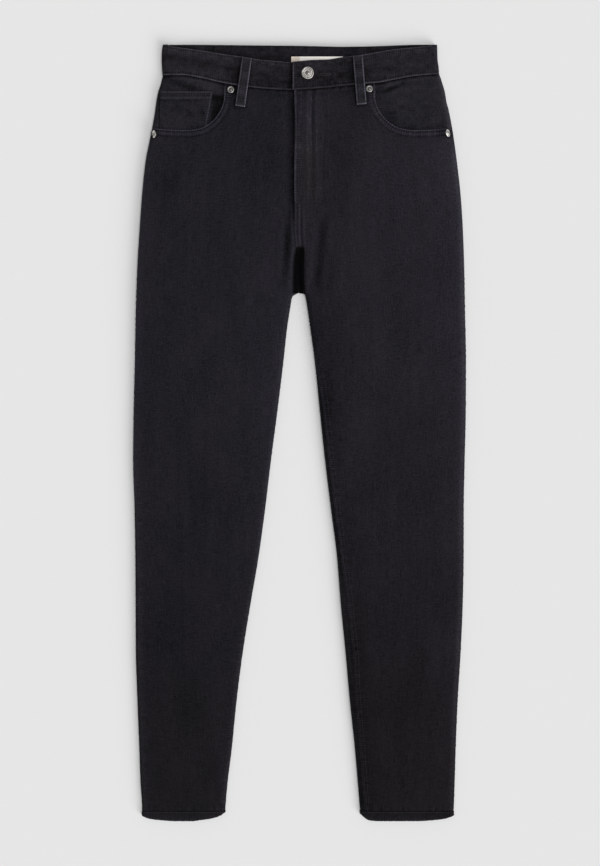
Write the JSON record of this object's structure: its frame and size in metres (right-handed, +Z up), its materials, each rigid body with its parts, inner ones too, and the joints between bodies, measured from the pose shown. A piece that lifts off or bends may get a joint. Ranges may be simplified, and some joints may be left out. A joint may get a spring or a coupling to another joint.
{
  "type": "mom jeans",
  "caption": "High-waisted tapered jeans in black stretch denim, laid flat on the back: curved front pockets, coin pocket, belt loops, fly with a shank button, and turned hems.",
  "frame": {"origin": "centre of the laid garment's outline, on the surface it lies on", "axes": "+Z up from the surface, +Y along the legs towards the waist, +X towards the wearer's left (the viewer's right)"},
  "size_m": [0.4324, 1.0076, 0.0141],
  "materials": {
    "denim": "washed black stretch twill, matt",
    "denim_trim": "washed black stretch twill, matt, worn at the edges",
    "label": "smooth cream woven tape, bare",
    "metal": "aged silver, satin"
  },
  "bodies": {
    "root": {"front_panel_R": "denim", "front_panel_L": "denim", "back_panel_R": "denim", "back_panel_L": "denim", "yoke_R": "denim", "yoke_L": "denim", "waistband": "denim", "hem_R": "denim", "hem_L": "denim", "fly_shield": "denim_trim", "pocket_facing_R": "denim_trim", "pocket_facing_L": "denim_trim", "coin_pocket": "denim_trim", "back_pocket_R": "denim_trim", "back_pocket_L": "denim_trim", "belt_loop_front_R": "denim_trim", "belt_loop_front_L": "denim_trim", "belt_loop_back_R": "denim_trim", "belt_loop_back_L": "denim_trim", "belt_loop_back_C": "denim_trim", "label": "label", "button": "metal", "rivet_top_R": "metal", "rivet_top_L": "metal", "rivet_side_R": "metal", "rivet_side_L": "metal"}
  },
  "joints": []
}
